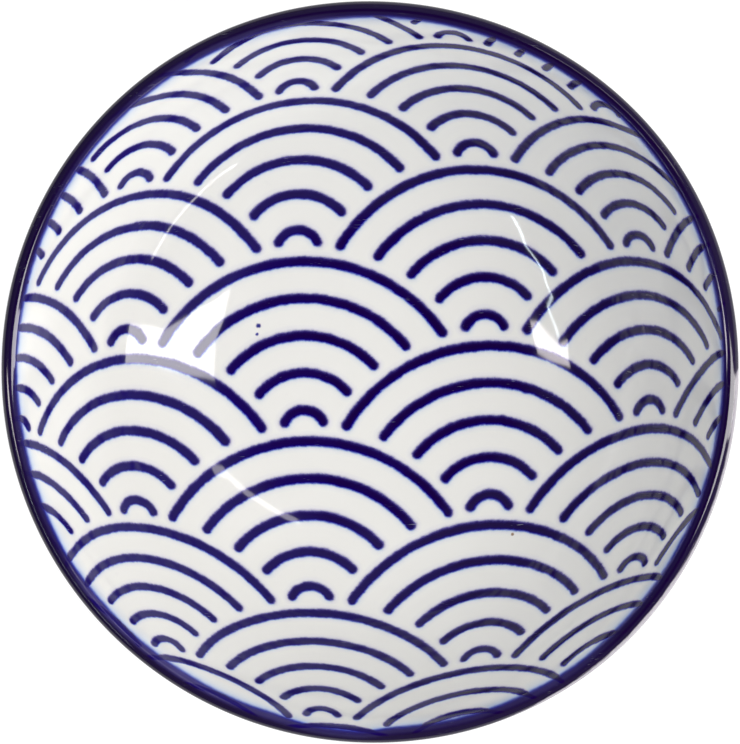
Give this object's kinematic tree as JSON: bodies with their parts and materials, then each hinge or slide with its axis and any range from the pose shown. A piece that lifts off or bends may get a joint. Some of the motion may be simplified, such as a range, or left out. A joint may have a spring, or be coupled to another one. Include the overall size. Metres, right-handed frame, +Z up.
{
  "type": "soy sauce dish",
  "caption": "Small round porcelain sauce dish on a foot ring, with a traditional blue wave print inside under clear glaze and a cobalt band round the lip.",
  "frame": {"origin": "middle of the plane that the foot ring rests on", "axes": "+Z up out of the dish along its axis, +Y towards the back in the picture, along which the wave print stands upright, +X to the right"},
  "size_m": [0.095, 0.095, 0.031],
  "materials": {
    "biscuit": "fine unglazed porcelain, slightly warm white",
    "print_blue": "cobalt underglaze print, navy with softly bled blue edges",
    "rim_blue": "brushed cobalt band, navy that bleeds to bright blue at its inner edge",
    "clear_glaze": "clear gloss glaze"
  },
  "bodies": {
    "root": {"porcelain_body": "biscuit", "wave_print": "print_blue", "rim_band": "rim_blue", "clear_glaze": "clear_glaze", "foot_well_glaze": "clear_glaze"}
  },
  "joints": []
}
